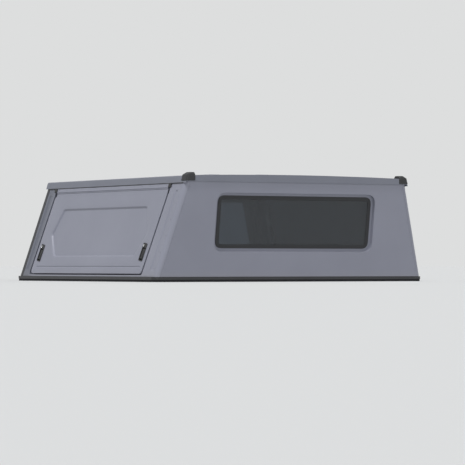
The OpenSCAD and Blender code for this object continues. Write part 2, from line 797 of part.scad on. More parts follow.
module base_seal_right() {
    color(rubber_black) right_part() base_seals();
}

module base_seal_left() {
    color(rubber_black) mirror([0, 1, 0]) right_part() base_seals();
}

module base_seal_front() {
    color(rubber_black) front_part() base_seals();
}

// Continuous hinge: a fixed rail with an open socket, and the door's strip with a round bead in it
module hinge_rail() {
    slot_reach = 2 * socket_r;
    flange_t = 2.5;
    along_side(hinge_x0, hinge_x1) difference() {
        union() {
            translate([hinge_y, hinge_z]) circle(r = socket_r);
            translate([hinge_y + bead_r, 0]) square([rise(skirt_bottom_h) - 3 - hinge_y - bead_r, flange_t]);
        }
        translate([hinge_y, hinge_z]) {
            circle(r = bead_r + bead_gap);
            // The mouth, open from straight down the door to straight outward
            polygon([[0, 0], for (a = [65, 100, 135, 170, 205]) slot_reach * [cos(a), sin(a)]]);
        }
    }
}

module hinge_rail_right() {
    color(body_grey) on_right() hinge_rail();
}

module hinge_rail_left() {
    color(body_grey) on_left() hinge_rail();
}

// Moulded caps on the ends of both hinge rails
module hinge_end_caps() {
    color(trim_black) for (side = [0, 1]) mirror([0, side, 0]) on_right()
        for (x = [hinge_x0 - seat_gap - 30, hinge_x1 + seat_gap])
            translate([x, hinge_y + 4, 0.1])
                slab(0, 6) square([30, rise(skirt_bottom_h) - 3 - hinge_y - 4]);
}

module hinge_strip() {
    clear = 2;
    along_side(hinge_x0 + clear, hinge_x1 - clear) {
        translate([hinge_y, hinge_z]) circle(r = bead_r);
        translate([rise(door_top_h) - strip_lap, hinge_z - neck_t / 2])
            square([hinge_y - rise(door_top_h) + strip_lap, neck_t]);
    }
}

module door_hinge_strip_right() {
    color(steel) on_right() hinge_strip();
}

module door_hinge_strip_left() {
    color(steel) on_left() hinge_strip();
}

// Rubber seal on the frame's inner flange, just clear of the closed door
module door_seal() {
    slab(-jamb_depth + sheet, liner_face - 0.5) ring(door_line(-landing + seal_w), door_line(-landing));
}

module door_seal_right() {
    color(rubber_black) on_right() door_seal();
}

module door_seal_left() {
    color(rubber_black) on_left() door_seal();
}

// Places a shape at a latch: x across the latch, y up its length, which leans with the door's end
module at_latch(x) {
    translate([x, rise(latch_z), 0]) rotate([0, 0, -door_turn]) children();
}

// Door: pressed skin with a folded edge, a six-sided dish, a bead near the bottom and latch cut-outs
module door_skin() {
    dish = [press_inner(), press_inner(press_step_w), press_outer()];
    dish_depths = [-press_depth, -press_turn, 0];
    bead = slanted(door_x0 + 50, door_x1 - 35, door_bottom_h + 32, door_bottom_h + 42, door_k);
    bead_inner = slanted(door_x0 + 50, door_x1 - 35, door_bottom_h + 32, door_bottom_h + 42, door_k, -3.2);
    difference() {
        union() {
            slab(-sheet, 0) polygon(door_line());
            slab(-door_depth, 0) ring(door_line(), door_line(-sheet));
            translate([0, 0, -sheet]) stack(dish, dish_depths);
            pressing_back(rounded(bead, 4), rounded(bead_inner, 1.5), 3);
        }
        stack(dish, dish_depths);
        slab(0, over) polygon(press_outer());
        pressing_hollow(rounded(bead, 4), rounded(bead_inner, 1.5), 3);
        for (x = [latch_front_x, latch_rear_x]) at_latch(x)
            slab(-sheet - over, over) rounded_box(latch_w - 3.4, latch_h - 3.4, 7);
        // Slot in the folded top edge for the hinge strip
        translate([hinge_x0, rise(door_top_h) - 30, hinge_z - neck_t / 2 - 0.2])
            cube([hinge_x1 - hinge_x0, 40, neck_t + 0.2]);
    }
}

module side_door_right() {
    color(body_grey) on_right() door_skin();
}

module side_door_left() {
    color(body_grey) on_left() door_skin();
}

// Inner liner: a flat frame on the folded edge, open behind the dish
module door_liner() {
    slab(liner_face, -door_depth) ring(door_line(-0.5), press_inner(-10));
}

module door_liner_right() {
    color(body_grey) on_right() door_liner();
}

module door_liner_left() {
    color(body_grey) on_left() door_liner();
}

// Latch: a dish with a hollow for the fingers, a lever on a cross pin and a lock cylinder
module latch_dish() {
    cavity_w = lever_w + 10;
    cavity_top = lever_pivot_y + lever_barrel_r + 4;
    cavity_bottom = -latch_h / 2 + 5;
    difference() {
        union() {
            slab(0, dish_flange) rounded_box(latch_w, latch_h, 8);
            slab(-latch_depth, 0) rounded_box(latch_w - 4, latch_h - 4, 6);
        }
        translate([-cavity_w / 2, cavity_bottom, 2 - latch_depth])
            cube([cavity_w, cavity_top - cavity_bottom, latch_depth + dish_flange]);
        translate([-latch_w / 2 + 1, lever_pivot_y, lever_pivot_z]) rotate([0, 90, 0])
            cylinder(r = lever_pin_r + pin_gap, h = latch_w - 2);
        translate([-lock_side, lock_y, 3 - latch_depth]) cylinder(r = lock_r + pin_gap, h = latch_depth);
    }
}

module latch_lever() {
    translate([0, lever_pivot_y, lever_pivot_z]) {
        rotate([0, 90, 0]) translate([0, 0, -lever_w / 2]) cylinder(r = lever_barrel_r, h = lever_w);
        rotate([0, 90, 0]) translate([0, 0, -lever_w / 2 - 7]) cylinder(r = lever_pin_r, h = lever_w + 14);
        translate([-lever_w / 2, -lever_len, 1.5]) cube([lever_w, lever_len, 4]);
        translate([-lever_w / 2, -lever_len, 1.5]) cube([lever_w, 5, 7]);
    }
}

module lock_cylinder() {
    translate([-lock_side, lock_y, 3 - latch_depth]) cylinder(r = lock_r, h = latch_depth + 1.5);
}

module latch_dishes_right() {
    color(trim_black) on_right() for (x = [latch_front_x, latch_rear_x]) at_latch(x) latch_dish();
}

module latch_dishes_left() {
    color(trim_black) on_left() for (x = [latch_front_x, latch_rear_x]) at_latch(x) latch_dish();
}

module lock_cylinders_right() {
    color(steel) on_right() for (x = [latch_front_x, latch_rear_x]) at_latch(x) lock_cylinder();
}

module lock_cylinders_left() {
    color(steel) on_left() for (x = [latch_front_x, latch_rear_x]) at_latch(x) lock_cylinder();
}

module latch_lever_front_right() {
    color(trim_black) on_right() at_latch(latch_front_x) latch_lever();
}

module latch_lever_rear_right() {
    color(trim_black) on_right() at_latch(latch_rear_x) latch_lever();
}

module latch_levers_left() {
    color(trim_black) on_left() for (x = [latch_front_x, latch_rear_x]) at_latch(x) latch_lever();
}

// Brackets of the gas struts: a foot, an upright tab and a stud along X
module frame_bracket() {
    y = frame_stud[0];
    z = frame_stud[1];
    foot_y = rise(opening_bottom_h) + 2;
    foot_top = rise(door_bottom_h) + landing;
    translate([-28, foot_y, -jamb_depth - 3]) cube([22, foot_top - foot_y, 3]);
    translate([-6 - tab_t, 0, 0]) rotate([90, 0, 90]) linear_extrude(tab_t) hull() {
        translate([foot_y, -jamb_depth - 3]) square([foot_top - foot_y, 3]);
        translate([y, z]) circle(r = eye_r);
    }
    translate([-6 - tab_t, y, z]) rotate([0, 90, 0]) cylinder(r = stud_r, h = 6 + tab_t + eye_w / 2 + 2);
}

module door_bracket() {
    y = door_stud[0];
    z = door_stud[1];
    translate([-26, y - 14, liner_face - 3]) cube([16, 28, 3]);
    translate([-10 - tab_t, 0, 0]) rotate([90, 0, 90]) linear_extrude(tab_t) hull() {
        translate([y - 14, liner_face - 3]) square([28, 3]);
        translate([y, z]) circle(r = eye_r);
    }
    translate([-10 - tab_t, y, z]) rotate([0, 90, 0]) cylinder(r = stud_r, h = 10 + tab_t - eye_w / 2 - 0.3);
}

module both_struts() {
    for (x = [strut_front_x, strut_rear_x]) translate([x, 0, 0]) children();
}

module frame_strut_brackets_right() {
    color(steel) on_right() both_struts() frame_bracket();
}

module frame_strut_brackets_left() {
    color(steel) on_left() both_struts() frame_bracket();
}

module door_strut_brackets_right() {
    color(steel) on_right() both_struts() door_bracket();
}

module door_strut_brackets_left() {
    color(steel) on_left() both_struts() door_bracket();
}

// Places a shape on the closed strut's line, with z from the frame stud to the door stud
module on_strut() {
    translate([0, frame_stud[0], frame_stud[1]]) rotate([strut_angle - 90, 0, 0]) children();
}

// Cylinder of a gas strut: an eye on the frame stud, a hollow barrel and a gland round the rod
module strut_tube() {
    barrel = strut_r - tube_wall;
    rod_bore = rod_r + pin_gap;
    floor_z = 24;
    on_strut() difference() {
        union() {
            cross_cylinder(eye_r, eye_w);
            rotate_extrude() polygon([
                [0, 5], [5, 5], [5, 15], [strut_r, 19], [strut_r, tube_end], [rod_bore, tube_end],
                [rod_bore, tube_end - gland], [barrel, tube_end - gland], [barrel, floor_z], [0, floor_z]
            ]);
        }
        cross_cylinder(stud_r + pin_gap, eye_w + 2);
    }
}

module strut_rod() {
    on_strut() {
        translate([0, 0, piston_z]) cylinder(r = rod_r, h = strut_len - piston_z - 4);
        translate([0, 0, piston_z]) cylinder(r = strut_r - tube_wall - pin_gap, h = 10);
        translate([0, 0, strut_len]) cross_cylinder(eye_r, eye_w);
    }
}

module strut_tube_front_right() {
    color(trim_black) on_right() translate([strut_front_x, 0, 0]) strut_tube();
}

module strut_tube_rear_right() {
    color(trim_black) on_right() translate([strut_rear_x, 0, 0]) strut_tube();
}

module strut_rod_front_right() {
    color(steel) on_right() translate([strut_front_x, 0, 0]) strut_rod();
}

module strut_rod_rear_right() {
    color(steel) on_right() translate([strut_rear_x, 0, 0]) strut_rod();
}

module strut_tube_front_left() {
    color(trim_black) turned_left() translate([-strut_front_x, 0, 0]) strut_tube();
}

module strut_tube_rear_left() {
    color(trim_black) turned_left() translate([-strut_rear_x, 0, 0]) strut_tube();
}

module strut_rods_left() {
    color(steel) on_left() both_struts() strut_rod();
}

roof_panel();
roof_bows();
front_corner_caps();
front_corner_posts();
side_panel_right();
side_panel_left();
front_panel();
front_window_seal();
front_window_glass();
rear_corner_posts();
rear_header();
rear_door_frame();
rear_door_seal();
rear_window_seal();
rear_window_glass();
rear_door_hinges();
rear_door_handle();
rear_struts();
brake_light();
base_rail_right();
base_rail_left();
base_rail_front();
base_seal_right();
base_seal_left();
base_seal_front();
hinge_rail_right();
hinge_rail_left();
hinge_end_caps();
door_seal_right();
door_seal_left();
frame_strut_brackets_right();
frame_strut_brackets_left();
side_door_right();
door_liner_right();
door_hinge_strip_right();
latch_dishes_right();
lock_cylinders_right();
door_strut_brackets_right();
latch_lever_front_right();
latch_lever_rear_right();
strut_tube_front_right();
strut_tube_rear_right();
strut_rod_front_right();
strut_rod_rear_right();
side_door_left();
door_liner_left();
door_hinge_strip_left();
latch_dishes_left();
lock_cylinders_left();
latch_levers_left();
door_strut_brackets_left();
strut_tube_front_left();
strut_tube_rear_left();
strut_rods_left();
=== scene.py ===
import bpy
import bmesh
import json
import math
from mathutils import Matrix, Vector


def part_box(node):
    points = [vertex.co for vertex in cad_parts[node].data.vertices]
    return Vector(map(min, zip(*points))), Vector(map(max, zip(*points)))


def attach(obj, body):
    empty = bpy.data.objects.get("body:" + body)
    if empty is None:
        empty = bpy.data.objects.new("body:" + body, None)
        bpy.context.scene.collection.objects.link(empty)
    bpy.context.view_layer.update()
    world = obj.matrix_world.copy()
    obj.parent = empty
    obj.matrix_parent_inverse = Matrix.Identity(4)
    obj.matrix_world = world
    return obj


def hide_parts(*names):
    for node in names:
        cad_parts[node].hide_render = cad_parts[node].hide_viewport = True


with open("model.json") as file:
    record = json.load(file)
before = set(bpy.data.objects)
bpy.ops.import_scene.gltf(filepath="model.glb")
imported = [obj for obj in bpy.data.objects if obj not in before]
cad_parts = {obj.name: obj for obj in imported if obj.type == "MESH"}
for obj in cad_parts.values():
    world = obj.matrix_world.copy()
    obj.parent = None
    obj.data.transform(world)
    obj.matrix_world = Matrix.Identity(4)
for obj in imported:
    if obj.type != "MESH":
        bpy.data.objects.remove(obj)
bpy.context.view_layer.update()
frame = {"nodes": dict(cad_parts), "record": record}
nodes = frame["nodes"]
mm = 0.001

# The canopy's own sizes, as the frame has them
canopy = {
    "baseWidth": 1750 * mm,  # over the base rails
    "sideTilt": math.radians(16),  # inward slope of the sides
    "edgeLean": math.radians(7.8),  # forward lean of the front and rear ends
    "doorLean": math.radians(9.5),  # lean of the door's ends
    "rearX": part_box("base_rail_right")[0].x - 4 * mm,  # foot of the rear end
    "frontX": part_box("base_rail_front")[1].x - 2 * mm,  # foot of the front end
    "panelX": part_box("side_panel_right")[0].x,  # foot of the side panel's rear edge
}
sideRise = 1 / math.cos(canopy["sideTilt"])  # from height to distance up a side
endRise = 1 / math.cos(canopy["edgeLean"])  # from height to distance up an end
edgeSlope = math.tan(canopy["edgeLean"]) * math.cos(canopy["sideTilt"])
doorSlope = math.tan(canopy["doorLean"]) * math.cos(canopy["sideTilt"])


def halfWidth(height):
    return canopy["baseWidth"] / 2 - height * math.tan(canopy["sideTilt"])


def placed(origin, ahead, up, out, turn=0.0):
    axes = Matrix((ahead, up, out)).transposed().to_4x4()
    return Matrix.Translation(origin) @ axes @ Matrix.Rotation(turn, 4, "Z")


def onSide(side, x, rise, out=0.0, turn=0.0):
    # a place in the plane of the right side (-1) or the left side (1), facing outward
    tilt = canopy["sideTilt"]
    up = Vector((0, -side * math.sin(tilt), math.cos(tilt)))
    outward = Vector((0, side * math.cos(tilt), math.sin(tilt)))
    foot = Vector((x, side * canopy["baseWidth"] / 2, 0))
    return placed(foot + up * rise + outward * out, up.cross(outward), up, outward, -side * turn)


def onEnd(front, across, rise, out=0.0):
    # a place in the plane of the front wall or the rear end, facing outward
    lean = canopy["edgeLean"]
    up = Vector((math.sin(lean), 0, math.cos(lean)))
    outward = Vector((math.cos(lean), 0, -math.sin(lean))) * (1 if front else -1)
    foot = Vector((canopy["frontX"] if front else canopy["rearX"], across, 0))
    return placed(foot + up * rise + outward * out, up.cross(outward), up, outward)


def clearSelection():
    if bpy.context.object and bpy.context.object.mode != "OBJECT":
        bpy.ops.object.mode_set(mode="OBJECT")
    bpy.ops.object.select_all(action="DESELECT")


def activate(piece):
    clearSelection()
    piece.select_set(True)
    bpy.context.view_layer.objects.active = piece


def pickFaces(piece, test):
    # edit mode, with just the faces that pass the test selected
    activate(piece)
    bpy.ops.object.mode_set(mode="EDIT")
    bpy.ops.mesh.select_mode(type="FACE")
    bpy.ops.mesh.select_all(action="DESELECT")
    mesh = bmesh.from_edit_mesh(piece.data)
    for face in mesh.faces:
        face.select_set(test(face))
    bmesh.update_edit_mesh(piece.data)


def pickTop(piece):
    pickFaces(piece, lambda face: face.normal.z > 0.9)


def applyModifiers(piece):
    activate(piece)
    for modifier in list(piece.modifiers):
        bpy.ops.object.modifier_apply(modifier=modifier.name)


def finishPiece(piece, name, body, material, smooth=35):
    activate(piece)
    bpy.ops.object.transform_apply(location=True, rotation=True, scale=True)
    bpy.ops.object.shade_smooth_by_angle(angle=math.radians(smooth))
    piece.name = name
    piece.data.name = name
    piece.data.materials.clear()
    piece.data.materials.append(material)
    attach(piece, body)


def scatter(template, places, name, body, material):
    # one copy of the template at each place, joined into one piece
    clearSelection()
    for place in places:
        copy = bpy.data.objects.new(name, template.data.copy())
        bpy.context.scene.collection.objects.link(copy)
        copy.matrix_world = place
        copy.select_set(True)
        bpy.context.view_layer.objects.active = copy
    bpy.ops.object.transform_apply(location=True, rotation=True, scale=True)
    bpy.ops.object.join()
    finishPiece(bpy.context.object, name, body, material)


# Materials. Grains, cells and streaks finer than the picture can show are drawn coarser than real

def linear(hexColour):
    channels = [int(hexColour[i:i + 2], 16) / 255 for i in (1, 3, 5)]
    return [c / 12.92 if c <= 0.04045 else ((c + 0.055) / 1.055) ** 2.4 for c in channels] + [1]


def addNode(tree, kind, settings=None, inputs=None, links=None):
    node = tree.nodes.new(kind)
    for key, value in (settings or {}).items():
        setattr(node, key, value)
    for key, value in (inputs or {}).items():
        node.inputs[key].default_value = value
    for key, source in (links or {}).items():
        tree.links.new(source, node.inputs[key])
    return node


def newMaterial(name):
    material = bpy.data.materials.new(name)
    material.use_nodes = True
    tree = material.node_tree
    tree.nodes.clear()
    output = addNode(tree, "ShaderNodeOutputMaterial")
    place = addNode(tree, "ShaderNodeTexCoord").outputs["Object"]
    return material, tree, output, place


paintedReflectionCoat = {
    "colour": "#888a97",  # violet grey, as the door's flat: painted sky reflection, the coat itself is black
    "pale": "#8a8c99",
    "deep": "#868895",
    "clouding": 260 * mm,
    "grit": 1.4 * mm,  # real grit is about 0.3 mm, drawn coarser so that it shows
    "gritDepth": 0.22 * mm,
    "peel": 9 * mm,  # slow ripple of the baked film
    "peelDepth": 0.4 * mm,
    "gloss": (0.36, 0.5),
    "dust": "#a39f98",
    "dustFrom": 70 * mm,  # the height where it starts to show
    "dustTo": 5 * mm,
    "dustMost": 0.3,
    "dustFleck": 14 * mm,
}
paintedShadeRoofCoat = {  # a darker copy: painted shade, as the roof's edge
    **paintedReflectionCoat,
    "colour": "#70737e",
    "pale": "#727580",
    "deep": "#6e717c",
}
paintedShadeWallCoat = {  # with painted shade on the rear pillar, measured ahead of the panel's rear edge
    **paintedReflectionCoat,
    "paintedShade": "#656873",
    "paintedShadeFrom": 115 * mm,
    "paintedShadeTo": 50 * mm,
}
blackCoat = {
    **paintedReflectionCoat,
    "colour": "#27282c",
    "pale": "#2a2b30",
    "deep": "#232428",
    "gloss": (0.34, 0.46),
    "dust": "#4c4a47",
}


def powderCoatedSheet(name, recipe):
    # Powder coat on pressed stainless sheet: sprayed dry and baked. A fine pebbled satin film
    # that spreads highlights, with a slow orange-peel ripple and a trace of road dust low down
    material, tree, output, place = newMaterial(name)
    cloud = addNode(tree, "ShaderNodeTexNoise",
                    inputs={"Scale": 1 / recipe["clouding"], "Detail": 3},
                    links={"Vector": place})
    tone = addNode(tree, "ShaderNodeValToRGB", links={"Fac": cloud.outputs["Fac"]})
    ramp = tone.color_ramp.elements
    ramp[0].position, ramp[0].color = 0.3, linear(recipe["deep"])
    ramp[1].position, ramp[1].color = 0.7, linear(recipe["pale"])
    ramp.new(0.5).color = linear(recipe["colour"])
    paint = tone.outputs["Color"]
    if "paintedShade" in recipe:  # painted shade: the rear pillar darkened towards the panel's rear edge
        ahead = addNode(tree, "ShaderNodeVectorMath", settings={"operation": "DOT_PRODUCT"},
                        inputs={1: (1, 0, -math.tan(canopy["edgeLean"]))}, links={0: place})
        paintedShade = addNode(tree, "ShaderNodeMapRange",
                       inputs={"From Min": canopy["panelX"] + recipe["paintedShadeFrom"],
                               "From Max": canopy["panelX"] + recipe["paintedShadeTo"]},
                       links={"Value": ahead.outputs["Value"]})
        paintedShadeMix = addNode(tree, "ShaderNodeMix", settings={"data_type": "RGBA"},
                         inputs={"B": linear(recipe["paintedShade"])},
                         links={"Factor": paintedShade.outputs["Result"], "A": paint})
        paint = paintedShadeMix.outputs["Result"]
    height = addNode(tree, "ShaderNodeSeparateXYZ", links={"Vector": place})
    low = addNode(tree, "ShaderNodeMapRange",
                  inputs={"From Min": recipe["dustFrom"], "From Max": recipe["dustTo"],
                          "To Max": recipe["dustMost"]},
                  links={"Value": height.outputs["Z"]})
    fleck = addNode(tree, "ShaderNodeTexNoise",
                    inputs={"Scale": 1 / recipe["dustFleck"], "Detail": 5, "Roughness": 0.7},
                    links={"Vector": place})
    dust = addNode(tree, "ShaderNodeMath", settings={"operation": "MULTIPLY"},
                   links={0: low.outputs["Result"], 1: fleck.outputs["Fac"]})
    colour = addNode(tree, "ShaderNodeMix", settings={"data_type": "RGBA"},
                     inputs={"B": linear(recipe["dust"])},
                     links={"Factor": dust.outputs["Value"], "A": paint})
    grit = addNode(tree, "ShaderNodeTexNoise",
                   inputs={"Scale": 1 / recipe["grit"], "Detail": 2}, links={"Vector": place})
    peel = addNode(tree, "ShaderNodeTexNoise",
                   inputs={"Scale": 1 / recipe["peel"], "Detail": 1}, links={"Vector": place})
    gloss = addNode(tree, "ShaderNodeMapRange",
                    inputs={"To Min": recipe["gloss"][0], "To Max": recipe["gloss"][1]},
                    links={"Value": grit.outputs["Fac"]})
    ripple = addNode(tree, "ShaderNodeBump",
                     inputs={"Strength": 0.12, "Distance": recipe["peelDepth"]},
                     links={"Height": peel.outputs["Fac"]})
    pebble = addNode(tree, "ShaderNodeBump",
                     inputs={"Strength": 0.3, "Distance": recipe["gritDepth"]},
                     links={"Height": grit.outputs["Fac"], "Normal": ripple.outputs["Normal"]})
    shader = addNode(tree, "ShaderNodeBsdfPrincipled", inputs={"IOR": 1.5},
                     links={"Base Color": colour.outputs["Result"],
                            "Roughness": gloss.outputs["Result"],
                            "Normal": pebble.outputs["Normal"]})
    tree.links.new(shader.outputs["BSDF"], output.inputs["Surface"])
    return material


moulding = {"colour": "#1c1d1f", "grain": 1.3 * mm, "grainDepth": 0.2 * mm, "sheen": (0.44, 0.58)}


def mouldedAbs(name, recipe):
    # ABS: moulded in a spark-eroded tool, so a leathery matt grain with a soft sheen on the edges
    material, tree, output, place = newMaterial(name)
    pits = addNode(tree, "ShaderNodeTexVoronoi", inputs={"Scale": 1 / recipe["grain"]},
                   links={"Vector": place})
    sheen = addNode(tree, "ShaderNodeMapRange",
                    inputs={"To Min": recipe["sheen"][0], "To Max": recipe["sheen"][1]},
                    links={"Value": pits.outputs["Distance"]})
    relief = addNode(tree, "ShaderNodeBump",
                     inputs={"Strength": 0.3, "Distance": recipe["grainDepth"]},
                     links={"Height": pits.outputs["Distance"]})
    shader = addNode(tree, "ShaderNodeBsdfPrincipled",
                     inputs={"Base Color": linear(recipe["colour"]), "IOR": 1.54},
                     links={"Roughness": sheen.outputs["Result"],
                            "Normal": relief.outputs["Normal"]})
    tree.links.new(shader.outputs["BSDF"], output.inputs["Surface"])
    return material


rubber = {"colour": "#121316", "bloom": "#25272b", "haze": 16 * mm, "hazeDepth": 0.2 * mm,
          "sheen": (0.46, 0.66)}


def extrudedEpdm(name, recipe):
    # EPDM rubber: extruded and cured, near black, with a faint grey bloom and a waxy sheen
    material, tree, output, place = newMaterial(name)
    haze = addNode(tree, "ShaderNodeTexNoise",
                   inputs={"Scale": 1 / recipe["haze"], "Detail": 4}, links={"Vector": place})
    tone = addNode(tree, "ShaderNodeMix", settings={"data_type": "RGBA"},
                   inputs={"A": linear(recipe["colour"]), "B": linear(recipe["bloom"])},
                   links={"Factor": haze.outputs["Fac"]})
    sheen = addNode(tree, "ShaderNodeMapRange",
                    inputs={"To Min": recipe["sheen"][0], "To Max": recipe["sheen"][1]},
                    links={"Value": haze.outputs["Fac"]})
    relief = addNode(tree, "ShaderNodeBump",
                     inputs={"Strength": 0.15, "Distance": recipe["hazeDepth"]},
                     links={"Height": haze.outputs["Fac"]})
    shader = addNode(tree, "ShaderNodeBsdfPrincipled", inputs={"IOR": 1.52},
                     links={"Base Color": tone.outputs["Result"],
                            "Roughness": sheen.outputs["Result"],
                            "Normal": relief.outputs["Normal"]})
    tree.links.new(shader.outputs["BSDF"], output.inputs["Surface"])
    return material


foam = {"deep": "#141518", "pale": "#26272b", "cell": 2.4 * mm, "cellDepth": 0.6 * mm}


def cellularFoam(name, recipe):
    # Neoprene foam: sliced from a block, dull black with fine torn cells
    material, tree, output, place = newMaterial(name)
    cells = addNode(tree, "ShaderNodeTexVoronoi", inputs={"Scale": 1 / recipe["cell"]},
                    links={"Vector": place})
    tone = addNode(tree, "ShaderNodeMix", settings={"data_type": "RGBA"},
                   inputs={"A": linear(recipe["deep"]), "B": linear(recipe["pale"])},
                   links={"Factor": cells.outputs["Distance"]})
    relief = addNode(tree, "ShaderNodeBump",
                     inputs={"Strength": 0.5, "Distance": recipe["cellDepth"]},
                     links={"Height": cells.outputs["Distance"]})
    shader = addNode(tree, "ShaderNodeBsdfPrincipled", inputs={"Roughness": 0.92, "IOR": 1.45},
                     links={"Base Color": tone.outputs["Result"],
                            "Normal": relief.outputs["Normal"]})
    tree.links.new(shader.outputs["BSDF"], output.inputs["Surface"])
    return material


steel = {"pale": "#b6b8bb", "deep": "#8f9296", "streak": 1.3 * mm, "stretch": 0.02,
         "streakDepth": 0.1 * mm, "gloss": (0.22, 0.42)}


def brushedStainless(name, recipe):
    # Stainless steel: rolled and brushed along the vehicle, so fine streaks stretch the highlights
    material, tree, output, place = newMaterial(name)
    along = addNode(tree, "ShaderNodeMapping", inputs={"Scale": (recipe["stretch"], 1, 1)},
                    links={"Vector": place})
    lines = addNode(tree, "ShaderNodeTexNoise",
                    inputs={"Scale": 1 / recipe["streak"], "Detail": 4},
                    links={"Vector": along.outputs["Vector"]})
    tone = addNode(tree, "ShaderNodeMix", settings={"data_type": "RGBA"},
                   inputs={"A": linear(recipe["deep"]), "B": linear(recipe["pale"])},
                   links={"Factor": lines.outputs["Fac"]})
    gloss = addNode(tree, "ShaderNodeMapRange",
                    inputs={"To Min": recipe["gloss"][0], "To Max": recipe["gloss"][1]},
                    links={"Value": lines.outputs["Fac"]})
    relief = addNode(tree, "ShaderNodeBump",
                     inputs={"Strength": 0.08, "Distance": recipe["streakDepth"]},
                     links={"Height": lines.outputs["Fac"]})
    shader = addNode(tree, "ShaderNodeBsdfPrincipled", inputs={"Metallic": 1.0},
                     links={"Base Color": tone.outputs["Result"],
                            "Roughness": gloss.outputs["Result"],
                            "Normal": relief.outputs["Normal"]})
    tree.links.new(shader.outputs["BSDF"], output.inputs["Surface"])
    return material


chrome = {"colour": "#d9dadc", "mark": 1.5 * mm, "gloss": (0.07, 0.2)}


def chromedZinc(name, recipe):
    # Chrome on die-cast zinc: plated and buffed, bright with a trace of turning marks
    material, tree, output, place = newMaterial(name)
    marks = addNode(tree, "ShaderNodeTexNoise",
                    inputs={"Scale": 1 / recipe["mark"], "Detail": 2}, links={"Vector": place})
    gloss = addNode(tree, "ShaderNodeMapRange",
                    inputs={"To Min": recipe["gloss"][0], "To Max": recipe["gloss"][1]},
                    links={"Value": marks.outputs["Fac"]})
    shader = addNode(tree, "ShaderNodeBsdfPrincipled",
                     inputs={"Base Color": linear(recipe["colour"]), "Metallic": 1.0},
                     links={"Roughness": gloss.outputs["Result"]})
    tree.links.new(shader.outputs["BSDF"], output.inputs["Surface"])
    return material


pane = {"tint": "#757d86", "wave": 320 * mm, "waveDepth": 0.8 * mm, "gloss": (0.02, 0.05)}


def privacyGlass(name, recipe):
    # Toughened privacy glass: floated and quenched, dark clear grey with faint roller waves
    material, tree, output, place = newMaterial(name)
    waves = addNode(tree, "ShaderNodeTexNoise",
                    inputs={"Scale": 1 / recipe["wave"], "Detail": 0}, links={"Vector": place})
    relief = addNode(tree, "ShaderNodeBump",
                     inputs={"Strength": 0.06, "Distance": recipe["waveDepth"]},
                     links={"Height": waves.outputs["Fac"]})
    gloss = addNode(tree, "ShaderNodeMapRange",
                    inputs={"To Min": recipe["gloss"][0], "To Max": recipe["gloss"][1]},
                    links={"Value": waves.outputs["Fac"]})
    shader = addNode(tree, "ShaderNodeBsdfPrincipled",
                     inputs={"Base Color": linear(recipe["tint"]), "IOR": 1.52,
                             "Transmission Weight": 0.9},
                     links={"Normal": relief.outputs["Normal"],
                            "Roughness": gloss.outputs["Result"]})
    tree.links.new(shader.outputs["BSDF"], output.inputs["Surface"])
    return material


lens = {"deep": "#7d0d12", "pale": "#b3161c", "prism": 7 * mm, "prismDepth": 1.2 * mm}
waveBands = 0.314  # a wave texture of this scale has one band to the metre


def ribbedLens(name, recipe):
    # Acrylic lens: moulded clear red with upright prisms inside that break up the light
    material, tree, output, place = newMaterial(name)
    prisms = addNode(tree, "ShaderNodeTexWave", settings={"bands_direction": "Y"},
                     inputs={"Scale": waveBands / recipe["prism"]}, links={"Vector": place})
    relief = addNode(tree, "ShaderNodeBump",
                     inputs={"Strength": 0.6, "Distance": recipe["prismDepth"]},
                     links={"Height": prisms.outputs["Fac"]})
    tone = addNode(tree, "ShaderNodeMix", settings={"data_type": "RGBA"},
                   inputs={"A": linear(recipe["deep"]), "B": linear(recipe["pale"])},
                   links={"Factor": prisms.outputs["Fac"]})
    shader = addNode(tree, "ShaderNodeBsdfPrincipled",
                     inputs={"Roughness": 0.08, "IOR": 1.49, "Transmission Weight": 0.2},
                     links={"Base Color": tone.outputs["Result"],
                            "Normal": relief.outputs["Normal"]})
    tree.links.new(shader.outputs["BSDF"], output.inputs["Surface"])
    return material


# The grey coats' colours are painted sky reflection on the black powder coat; the roof's coat adds
# painted shade, the wall's coat painted shade on the rear pillar. The black coat keeps the coat's
# own colour.
paintedReflectionBodyCoat = powderCoatedSheet("powderCoatPaintedSkyReflection", paintedReflectionCoat)
paintedShadeTopCoat = powderCoatedSheet("roofPowderCoatPaintedShade", paintedShadeRoofCoat)
paintedShadeSideCoat = powderCoatedSheet("wallPowderCoatPaintedShade", paintedShadeWallCoat)
trimCoat = powderCoatedSheet("blackPowderCoat", blackCoat)
blackMoulding = mouldedAbs("blackMouldedAbs", moulding)
sealRubber = extrudedEpdm("extrudedEpdm", rubber)
baseFoam = cellularFoam("neopreneFoam", foam)
stainless = brushedStainless("brushedStainless", steel)
lockChrome = chromedZinc("chromedZinc", chrome)
windowGlass = privacyGlass("privacyGlass", pane)
lampLens = ribbedLens("redAcrylicLens", lens)
finishOf = {
    "body_paint": paintedReflectionBodyCoat,
    "black_paint": trimCoat,
    "black_plastic": blackMoulding,
    "black_rubber": sealRubber,
    "tinted_glass": windowGlass,
    "stainless": stainless,
    "lock_chrome": lockChrome,
    "red_lens": lampLens,
}
slotOf = {part["node"]: part["material_slot"] for part in frame["record"]["subparts"]}
bodyOf = {name: body for body, names in frame["record"]["behaviour"]["bodies"].items()
          for name in names}
for nodeName, node in nodes.items():
    node.data.materials.clear()
    node.data.materials.append(finishOf[slotOf[nodeName]])
# the roof takes the copy with painted shade
nodes["roof_panel"].data.materials[0] = paintedShadeTopCoat
# the side panels take the copy with painted shade on the rear pillar
for nodeName in ("side_panel_right", "side_panel_left"):
    nodes[nodeName].data.materials[0] = paintedShadeSideCoat
for nodeName in ("base_seal_right", "base_seal_left", "base_seal_front"):
    nodes[nodeName].data.materials[0] = baseFoam
print("materials ready")


# Pressed, folded and moulded edges, each rounded as its sheet or tool leaves it

